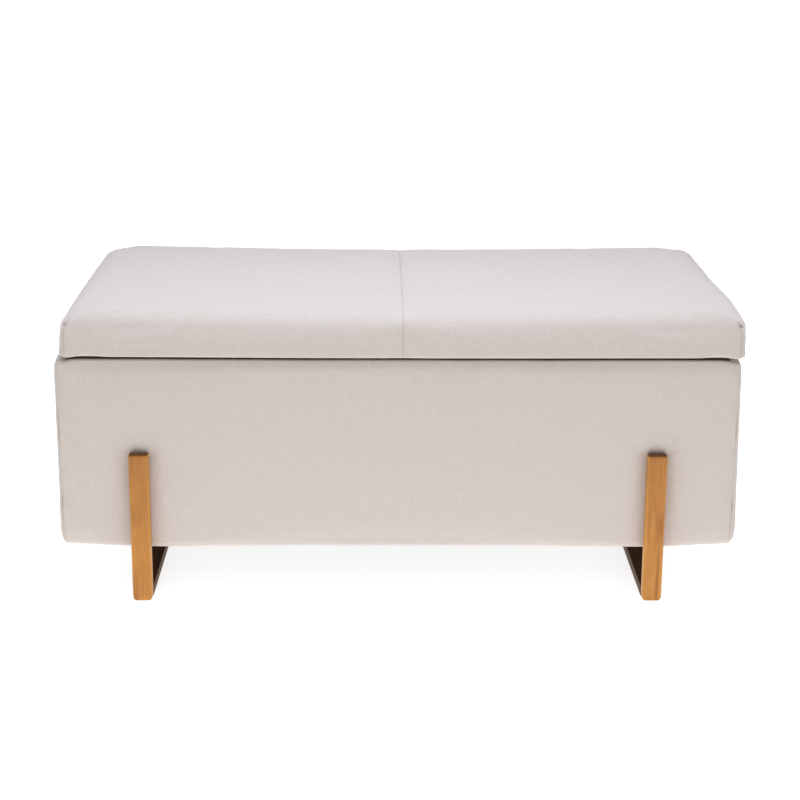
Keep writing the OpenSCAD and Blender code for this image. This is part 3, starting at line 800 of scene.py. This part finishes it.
def split_halves(piece, names, material):
    """Cuts the lid's skin along its centre seam into two closed pieces."""
    mesh = piece.data
    points = read_points(mesh)
    loops = [list(polygon.vertices) for polygon in mesh.polygons]
    halves = []
    for name, side in zip(names, (-1.0, 1.0)):
        local, faces = keep_only(points, [f for f in loops if side * points[f, 0].mean() > 0.0])
        edges = dict.fromkeys(pair for face in faces for pair in zip(face, face[1:] + face[:1]))
        open_edges = {b: a for a, b in edges if (b, a) not in edges}
        start = next(iter(open_edges))
        rim = [start]
        while open_edges[rim[-1]] != start:
            rim.append(open_edges[rim[-1]])
        local[rim, 0] += side * SEAM_PARTING
        halves.append(make_object(name, local, faces + [rim], material))
    bpy.data.objects.remove(piece)
    return halves


def make_lid():
    """The lid cushion in its two sewn halves."""
    points, faces, half = lid_blank()
    piece = make_object("lid_skin", points, faces, linen)
    inflate(piece, lid_pins(points, half), cap=0.0045)
    apply_subdivision(piece)
    mesh = piece.data
    points = lid_settle(read_points(mesh))
    points[:, 2] += lid_edge_lift(points, LID_HALF)
    low = 1.0 - smooth(points[:, 2] - LID_BOTTOM, 0.004, 0.020)
    for axis, push in ((0, 0.0014), (1, 0.0030)):
        reach = smooth(np.abs(points[:, axis]), half[axis] - 0.007, half[axis] - 0.001)
        points[:, axis] += np.sign(points[:, axis]) * push * low * reach
    write_points(mesh, points)
    mask = smooth(points[:, 2], LID_BOTTOM + 0.002, LID_BOTTOM + 0.012)
    points = soften(points, read_normals(mesh), mask, 5)
    write_points(mesh, points)
    points = dent_along_seams(points, read_normals(mesh))
    points[:, 0] = np.where(np.abs(points[:, 0]) < 1e-5, 0.0, points[:, 0])
    write_points(mesh, points)
    left, right = split_halves(piece, ("lid_cushion_left", "lid_cushion_right"), linen)
    for cushion, nodes in ((left, ("lid_cover_left", "lid_foam")), (right, ("lid_cover_right",))):
        moved = read_points(cushion.data) + np.array([LID_SHIFT, 0.0, 0.0])
        write_points(cushion.data, moved)
        attach(cushion, "lid", "linen", *nodes)
    return left, right


# ---------------------------------------------------------------- padded walls of the box

WALL_CORNER = np.array([PANEL_HIGH[0] - 0.012, PANEL_HIGH[1] - 0.012])
BODY_HALF = np.array([BODY_HIGH[0], BODY_HIGH[1]])
BODY_BOTTOM = float(BODY_LOW[2])
BODY_TOP = float(BODY_HIGH[2])
RIM_LEVEL = BODY_TOP - 0.0004
RIM_ARC = 0.0036          # rounds the rim's outer edge
LOW_ARC = 0.008           # rounds the wall's lower edge
LIP = 0.0045              # how far the cloth turns down inside the rim
INNER_SHARE = 0.512       # where the skin's inner face lies within the padding
SEAM_ROLL = 0.0024        # how far a corner seam rolls in
CORNER_DROP = 0.0062      # how far the rim falls at a corner
RIM_DROP = 0.0036         # how far it falls along an end wall
HEM_SAG = 0.0062          # how far the lower edge sags between the corners


def wall_profile():
    """The wall skin's cross-section: share of the way outward, height, and whether the face is free to swell.

    It runs from the lip inside the rim over the top, down the outside, under the wall and back."""
    thick = float(BODY_HALF[1] - WALL_CORNER[1])

    def quarter(radius, level, start, steps):
        """Places round a quarter circle, from start degrees downward, as (share outward, height)."""
        for step in range(steps + 1):
            angle = math.radians(start - step * 90.0 / steps)
            out = thick - radius + radius * math.cos(angle)
            yield out / thick, level + radius * math.sin(angle)

    profile = [(0.010, BODY_TOP - LIP, 0.0), (0.018, RIM_LEVEL - 0.0018, 0.0)]
    profile += [(0.06, RIM_LEVEL - 0.0003, 0.05), (0.20, RIM_LEVEL, 0.08)]
    profile += [(0.36, RIM_LEVEL, 0.10), (0.50, RIM_LEVEL, 0.12)]
    for step, place in enumerate(quarter(RIM_ARC, RIM_LEVEL - RIM_ARC, 90.0, 7)):
        profile.append((*place, 0.12 + 0.10 * step))
    for height in np.linspace(BODY_TOP - RIM_ARC - 0.006, BODY_BOTTOM + LOW_ARC + 0.006, 38):
        profile.append((1.0, float(height), 1.0))
    for place in quarter(LOW_ARC, BODY_BOTTOM + LOW_ARC, 0.0, 5):
        profile.append((*place, 1.0))
    turned_up = BODY_BOTTOM + 0.0012
    profile += [(share, BODY_BOTTOM, 0.0) for share in (0.30, -0.20, -0.70)]
    profile += [(share, turned_up, 0.0) for share in (-0.70, -0.20, INNER_SHARE)]
    for height in np.linspace(BODY_BOTTOM + 0.03, BODY_TOP - 0.03, 9):
        profile.append((INNER_SHARE, float(height), 0.0))
    profile += [(share, RIM_LEVEL - 0.0014, 0.0) for share in (INNER_SHARE, 0.30)]
    profile += [(0.055, RIM_LEVEL - 0.0016, 0.0), (0.050, BODY_TOP - LIP, 0.0)]
    return profile


def wall_skin(half_length, length_per_depth, reach, spacing):
    """A wall's skin lying along X and facing -Y, mitred at both ends.

    half_length is the wall's half length at its inner line. length_per_depth is how much longer it gets
    outward. reach is the distance of its inner line from the middle, with its depth to the corner seam."""
    steps = (0.0, 0.0009, 0.0021, 0.0038, 0.0062, 0.0095, 0.014, 0.020, 0.028, 0.037)
    shares = lines_between(half_length, steps, spacing)
    inner_line, depth = reach
    profile = wall_profile()
    rings = len(shares)
    size = len(profile)
    points = np.zeros((rings, size, 3))
    free = np.zeros((rings, size))
    for i, along in enumerate(shares):
        for j, (out, height, swell) in enumerate(profile):
            away = out * depth
            stretch = (half_length + away * length_per_depth) / half_length
            points[i, j] = (along * stretch, -(inner_line + away), height)
            free[i, j] = swell
    faces = []
    for first in range(0, (rings - 1) * size, size):
        for j in range(size):
            k = (j + 1) % size
            faces.append([first + j, first + k, first + size + k, first + size + j])
    faces.append(list(range(size))[::-1])
    faces.append([(rings - 1) * size + j for j in range(size)])
    return points.reshape(-1, 3), faces, free.ravel()


def strap_press(points):
    """1 where a strap is screwed tight against the wall, easing off around it."""
    beside = 1.0 - smooth(np.abs(np.abs(points[:, 0]) - strap_centre), strap_half - 0.001, strap_half + 0.020)
    above = 1.0 - smooth(points[:, 2], STRAP_HIGH[2] - 0.003, STRAP_HIGH[2] + 0.018)
    return beside * above


def fill_wall(points, from_end, depth_share, swell, straps):
    """Gives a blown-up wall its fullness, its rolled end seams, its rounded rim and its low hem.

    from_end is each point's distance from the corner seam. depth_share is its share of the way outward."""
    result = points.copy()
    x, y, z = result.T
    outer = smooth(depth_share, 0.55, 0.95)
    fill = (1.0 - np.exp(-np.maximum(from_end, 0.0) / 0.011)) * outer
    fill *= smooth(z, BODY_BOTTOM - 0.012, BODY_BOTTOM + 0.010)
    fill *= 0.88 + 0.12 * (1.0 - smooth(z, BODY_TOP - 0.030, BODY_TOP))
    height_share = (z - BODY_BOTTOM) / (BODY_TOP - BODY_BOTTOM)
    swell_low, swell_high = swell
    push = (swell_low + (swell_high - swell_low) * height_share) * fill
    if straps:
        push = push * (1.0 - strap_press(points))
    y -= push - SEAM_ROLL * bell(from_end, 0.0019) * outer
    rim = smooth(z, BODY_TOP - 0.05, BODY_TOP)
    corner = bell(from_end, 0.017)
    round_off = CORNER_DROP * corner if straps else CORNER_DROP * corner + RIM_DROP * (1.0 - corner)
    shoulder = smooth(z, BODY_TOP - 0.016, BODY_TOP - 0.001) * smooth(depth_share, 0.25, 1.0)
    z -= round_off * shoulder
    hem = (1.0 - smooth(z, BODY_BOTTOM, BODY_BOTTOM + 0.035)) * smooth(depth_share, 0.3, 0.9)
    z -= HEM_SAG * hem * smooth(from_end, 0.0, 0.16)
    if straps:
        z += rim * (0.0005 * smooth(np.abs(x), 0.10, 0.45) - 0.0003)
    return result


def press_straps(points, outer, seed):
    """Creases the cloth beside the straps and keeps it flat behind them."""
    beside = np.abs(np.abs(points[:, 0]) - strap_centre)
    level = (STRAP_HIGH[2] + 0.004 - points[:, 2])
    crease = bell(beside - strap_half - 0.016, 0.010) * smooth(level, -0.02, 0.03) * outer
    wave = noise_field(points * np.array([0.4, 1.0, 1.0]), 0.045, seed)
    points[:, 1] += 0.0011 * crease * (0.55 + 0.8 * wave)
    flat = strap_press(points) * outer > 0.9
    points[:, 1] = np.where(flat, np.maximum(points[:, 1], -BODY_HALF[1] + 0.0002), points[:, 1])


def make_wall(name, turn, half_length, ratio, reach, swell, straps, seed):
    """One padded wall of the box; turn is the number of quarter turns from the front.

    swell is how far it stands out at its bottom and at its top. The rest is as in wall_skin."""
    points, faces, free = wall_skin(half_length, ratio, reach, GRID)
    piece = make_object(name, points, faces, linen)
    outer_half = half_length + reach[1] * ratio
    from_end = outer_half - np.abs(points[:, 0])
    pins = np.clip(1.0 - free, 0.0, 1.0)
    pins = np.maximum(pins, 0.95 * (1.0 - smooth(from_end, 0.0, 0.004)))
    if straps:
        pins = np.maximum(pins, 0.98 * (strap_press(points) > 0.97))
    inflate(piece, pins, cap=0.0022)
    apply_subdivision(piece)
    points = read_points(piece.data)
    from_end = outer_half - np.abs(points[:, 0])
    depth_share = (-points[:, 1] - reach[0]) / reach[1]
    outer = smooth(depth_share, 0.55, 0.95)
    points = fill_wall(points, from_end, depth_share, swell, straps)
    write_points(piece.data, points)
    mask = outer * smooth(from_end, 0.002, 0.03)
    if straps:
        mask = mask * (1.0 - strap_press(points))
    points = soften(points, read_normals(piece.data), mask, seed)
    if straps:
        press_straps(points, outer, seed + 7)
    for _ in range(turn):
        points = np.stack([-points[:, 1], points[:, 0], points[:, 2]], axis=1)
    write_points(piece.data, points)
    return piece


CORNER_SEAM = np.array([BODY_HALF[0] - 0.0008, BODY_HALF[1] - 0.0012])
SEAM_GAP = 0.0005         # at each end of a wall, so that the walls just miss each other

# Each wall: quarter turns from the front, how far it stands out at its bottom and top, and noise seed.
WALLS = {
    "front": (0, (0.0030, 0.0046), 21),
    "right": (1, (0.0115, 0.0036), 31),
    "rear": (2, (0.0026, 0.0026), 41),
    "left": (3, (0.0058, 0.0052), 51),
}


def make_walls():
    """The four padded walls, meeting in mitres at the corner seams."""
    to_seam = CORNER_SEAM - WALL_CORNER
    slope = float(to_seam[0] / to_seam[1])
    pads = []
    for side, (turn, swell, seed) in WALLS.items():
        along = turn % 2      # 0 for the front and the rear, which run along X, and 1 for the ends
        outward = 1 - along
        half_length = float(WALL_CORNER[along]) - SEAM_GAP
        ratio = 1 / slope if along else slope
        reach = (float(WALL_CORNER[outward]), float(to_seam[outward]))
        pad = make_wall(f"{side}_wall_pad", turn, half_length, ratio, reach, swell, not along, seed)
        attach(pad, "box", "linen", f"{side}_cover", f"{side}_foam")
        pads.append(pad)
    return pads


# ---------------------------------------------------------------- thin cloths

LINING_THICKNESS = 0.0005

def make_cloth_sheet(name, xs, ys, level, wrinkle, seed, edge):
    """A thin level cloth with faint wrinkles that die out at its stapled edges."""
    points = np.array([(x, y, level) for y in ys for x in xs])
    faces = [[face[0]] + face[:0:-1] for face in grid_faces(len(xs), len(ys))]
    inset = np.minimum(xs[-1] - np.abs(points[:, 0]), ys[-1] - np.abs(points[:, 1]))
    free = smooth(inset, 0.0, edge)
    folds = noise_field(points * np.array([1.0, 0.35, 1.0]), 0.06, seed)
    puckers = noise_field(points, 0.018, seed + 2) * bell(inset - 0.012, 0.012)
    points[:, 2] -= wrinkle * (free * (0.6 + 0.6 * folds) + 0.35 * np.abs(puckers))
    sheet = make_object(name, points, faces, lining_cloth)
    thicken(sheet, 0.0006)
    return sheet


def even_lines(half, count):
    """count + 1 positions from -half to half."""
    return [float(v) for v in np.linspace(-half, half, count + 1)]


def make_storage_lining():
    """The cloth glued inside the storage space: a floor and four walls in one piece."""
    low, high = LINING_LOW, LINING_HIGH
    half_x, half_y = float(high[0]) - 0.0006, float(high[1]) - 0.0006
    floor_z, top_z = float(low[2]) + 0.0006, float(high[2])
    xs, ys = even_lines(half_x, 88), even_lines(half_y, 40)
    zs = [floor_z + (top_z - floor_z) * k / 24 for k in range(25)]
    points, faces = box_shell(xs, ys, zs)
    open_faces = [f for f in faces if not all(abs(points[v, 2] - top_z) < 1e-6 for v in f)]
    points = round_rim(points, (half_x, half_y), 0.004, floor_z, 0.010, -1.0)
    sag = smooth(top_z - points[:, 2], 0.0, 0.05)
    inset = np.minimum(half_x - np.abs(points[:, 0]), half_y - np.abs(points[:, 1]))
    on_floor = smooth(inset, 0.01, 0.05)
    folds = noise_field(points * np.array([1.0, 1.0, 0.3]), 0.07, 61)
    long_wall = smooth(half_x - np.abs(points[:, 0]), 0.02, 0.06) * (1.0 - on_floor)
    points[:, 1] -= np.sign(points[:, 1]) * long_wall * sag * 0.0016 * (0.5 + 0.8 * folds)
    points[:, 2] += on_floor * 0.0012 * (0.5 + 0.8 * noise_field(points, 0.09, 63))
    points, faces = keep_only(points, [f[::-1] for f in open_faces])
    lining = make_object("storage_lining_cloth", points, faces, lining_cloth)
    thicken(lining, LINING_THICKNESS)
    attach(lining, "box", "lining_cloth", "storage_lining")


def make_linings():
    """The cloths inside the storage space, under the lid and under the box."""
    make_storage_lining()
    for node, body, board, wrinkle, seed, edge in (
            ("lid_lining", "lid", "lid_board", 0.0012, 71, 0.06),
            ("dust_cover", "box", "base_board", 0.0010, 81, 0.05)):
        low, high = span(node)
        half_x, half_y = float(high[0]), float(high[1])
        level = float(low[2] + high[2]) / 2
        cloth = make_cloth_sheet(
            f"{node}_cloth", even_lines(half_x, 116), even_lines(half_y, 48), level, wrinkle, seed, edge)
        attach(cloth, body, "lining_cloth", node)


# ---------------------------------------------------------------- wooden frames

def plank(name, node, flat_axis, corner_radii, edge_radius, material):
    """A plank that fills its CAD node's box, with eased edges.

    flat_axis is the axis across its thickness. corner_radii are the radii of the corners of its broad face
    at its low and high end."""
    low, high = (np.array(c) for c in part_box(node))
    middle, half = (low + high) / 2, (high - low) / 2
    order = [axis for axis in (0, 1, 2) if axis != flat_axis] + [flat_axis]
    size = half[order]
    steps = (0.0, 0.0008, 0.0018, 0.0031, 0.0046, 0.0064, 0.0085)
    edge_steps = (0.0, 0.0008, 0.0018, 0.0031, 0.0046)
    points, faces = box_shell(
        lines_between(size[0], steps, 0.012), lines_between(size[1], steps, 0.012),
        lines_between(size[2], edge_steps, 0.004))
    radii = np.where(points[:, 1] > 0.0, corner_radii[1], corner_radii[0])
    points = round_corners(points, size[:2], radii)
    points = round_rim(points, size[:2], radii, size[2], edge_radius, 1.0)
    points = round_rim(points, size[:2], radii, -size[2], edge_radius, -1.0)
    placed = np.zeros_like(points)
    placed[:, order] = points
    mirrored = np.linalg.det(np.eye(3)[order]) < 0.0
    if mirrored:
        faces = [face[::-1] for face in faces]
    attach(make_object(name, placed + middle, faces, material), "box", "strap_wood", node)


def make_frames():
    """The two wooden frames: a front strap, a rear strap and a runner on each side."""
    for side in ("left", "right"):
        for end in ("front", "rear"):
            plank(
                f"{end}_strap_plank_{side}", f"{end}_strap_{side}", 1, (0.0064, 0.0022), 0.0036, upright_wood)
        plank(f"runner_plank_{side}", f"runner_{side}", 2, (0.0004, 0.0004), 0.0025, runner_wood)


# ---------------------------------------------------------------- stitches

THREAD_RADIUS = 0.00032
SEAM_PITCH = 0.0042       # from stitch to stitch in the lid's centre seam


def add_stitch(points, faces, start, end, lift):
    """One stitch: a thin bent thread from start to end that stands up by lift in the middle."""
    rings, sides = 5, 6
    along = (end - start).normalized()
    side_way = along.cross(lift).normalized()
    first = len(points)
    for ring in range(rings):
        share = ring / (rings - 1)
        arch = math.sin(math.pi * share)
        middle = start.lerp(end, share) + lift * (arch - 0.35)
        radius = THREAD_RADIUS * (0.45 + 0.55 * arch)
        for k in range(sides):
            angle = 2.0 * math.pi * k / sides
            around = side_way * math.cos(angle) + lift.normalized() * math.sin(angle)
            points.append(middle + around * radius)
    for ring in range(rings - 1):
        for k in range(sides):
            a = first + ring * sides + k
            b = first + ring * sides + (k + 1) % sides
            faces.append([a, b, b + sides, a + sides])
    faces.append([first + k for k in range(sides)][::-1])
    faces.append([first + (rings - 1) * sides + k for k in range(sides)])


def surface_finder(pieces):
    """A function that finds where a ray from outside meets any of the pieces."""
    trees = []
    for mesh in (piece.data for piece in pieces):
        faces = [tuple(face.vertices) for face in mesh.polygons]
        trees.append(BVHTree.FromPolygons([v.co for v in mesh.vertices], faces))

    def find(start, direction):
        best = None
        for tree in trees:
            place, _, _, distance = tree.ray_cast(start, direction)
            if place is not None and (best is None or distance < best[1]):
                best = (place, distance)
        return best[0] if best else None

    return find


def stitch_row(points, faces, find, spots, along, outward, length):
    """Stitches at the spots, each running along the given way on the surface that faces outward."""
    for spot in spots:
        ends = []
        for sign in (-0.5, 0.5):
            ends.append(find(spot + along * (length * sign) + outward * 0.02, -outward))
        if None in ends or (ends[0] - ends[1]).length > 2.5 * length:
            continue
        add_stitch(points, faces, ends[0], ends[1], outward * 0.00035)


def sew_corners(points, faces, find, centre, half, levels, length):
    """Hand stitches that close four upright corner seams."""
    for side_x in (-1, 1):
        for side_y in (-1, 1):
            outward = Vector((side_x, side_y, 0)).normalized()
            across = Vector((-outward.y, outward.x, 0))
            corner = Vector((centre + side_x * half[0], side_y * half[1], 0))
            spots = [corner + Vector((0, 0, level)) for level in levels]
            stitch_row(points, faces, find, spots, across, outward, length)


def sew_lid(cushions):
    """Machine stitches in the lid's centre seam and hand stitches at its four corners."""
    find = surface_finder(cushions)
    points, faces = [], []
    up = Vector((0, 0, 1))
    across_top = [Vector((LID_SHIFT, y, LID_TOP)) for y in np.arange(-0.232, 0.232, SEAM_PITCH)]
    stitch_row(points, faces, find, across_top, Vector((0, 1, 0)), up, 0.0030)
    levels = np.arange(LID_BOTTOM + 0.006, LID_TOP - 0.016, SEAM_PITCH)
    for side in (-1, 1):
        down_side = [Vector((LID_SHIFT, side * LID_HALF[1], level)) for level in levels]
        stitch_row(points, faces, find, down_side, up, Vector((0, side, 0)), 0.0030)
    levels = np.arange(LID_BOTTOM + 0.008, LID_TOP - 0.014, 0.0055)
    sew_corners(points, faces, find, LID_SHIFT, LID_HALF, levels, 0.0042)
    attach(make_object("lid_seam_stitches", points, faces, thread), "lid", "linen")


def sew_box(pads):
    """Hand stitches that close the box's four corner seams."""
    points, faces = [], []
    levels = np.arange(BODY_BOTTOM + 0.012, BODY_TOP - 0.014, 0.0065)
    sew_corners(points, faces, surface_finder(pads), 0.0, CORNER_SEAM, levels, 0.0034)
    attach(make_object("box_seam_stitches", points, faces, thread), "box", "linen")


# ---------------------------------------------------------------- hem of the storage lining, run out over the rim as painted shade

HEM_STEP = 0.006          # grid spacing along the hem
HEM_DROP = 0.0045         # how far the hem may follow the wall down from the top of the box
HEM_LIFT = 0.0006         # of the hem's middle over the wall
HEM_INSIDE = (float(LINING_HIGH[0]), float(LINING_HIGH[1]))
# The lining really turns over the rim; carrying its black cloth this close to the outer edge is painted
# shade, darkening the gap under the lid.
HEM_OUTSIDE_TO_SHADE_GAP = (BODY_HALF[0] - 0.0170, BODY_HALF[1] - 0.0032)


def hem_lines(inside, outside, side):
    """Places across a hem, from inside the rim, over its edge and out along its top."""
    lines = [inside - 0.0010, inside + 0.0009] + list(np.linspace(inside + 0.0050, outside, 4))
    return sorted(side * line for line in lines)


def make_hem(name, xs, ys, find):
    """One edge of the storage lining, turned outward over the rim and lying on the padded wall: black cloth
    that runs out almost to the rim's rounded edge, painted shade in the gap under the lid.
    """
    lowest = BODY_TOP - HEM_DROP
    points = []
    for y in ys:
        for x in xs:
            below = find(Vector((x, y, BODY_TOP + 0.02)), Vector((0.0, 0.0, -1.0)))
            level = max(below.z, lowest) if below else lowest
            points.append((x, y, level + HEM_LIFT))
    points = np.array(points)
    points[:, 2] += 0.00015 * noise_field(points, 0.02, 91)
    hem = make_object(name, points, grid_faces(len(xs), len(ys)), lining_cloth)
    thicken(hem, LINING_THICKNESS)
    attach(hem, "box", "lining_cloth")


def make_hems_shading_gap(pads):
    """The four edges of the lining's hem, which darken the gap under the lid as painted shade."""
    find = surface_finder(pads)
    (in_x, in_y), (out_x, out_y) = HEM_INSIDE, HEM_OUTSIDE_TO_SHADE_GAP
    along_x = even_lines(out_x, int(2 * out_x / HEM_STEP))
    along_y = even_lines(in_y - 0.0005, int(2 * in_y / HEM_STEP))
    make_hem("front_lining_hem_gap_shade", along_x, hem_lines(in_y, out_y, -1), find)
    make_hem("rear_lining_hem_gap_shade", along_x, hem_lines(in_y, out_y, 1), find)
    make_hem("left_lining_hem_gap_shade", hem_lines(in_x, out_x, -1), along_y, find)
    make_hem("right_lining_hem_gap_shade", hem_lines(in_x, out_x, 1), along_y, find)


# ---------------------------------------------------------------- the whole ottoman

left_cushion, right_cushion = make_lid()
walls = make_walls()
make_linings()
make_hems_shading_gap(walls)
make_frames()
sew_lid((left_cushion, right_cushion))
sew_box(walls)
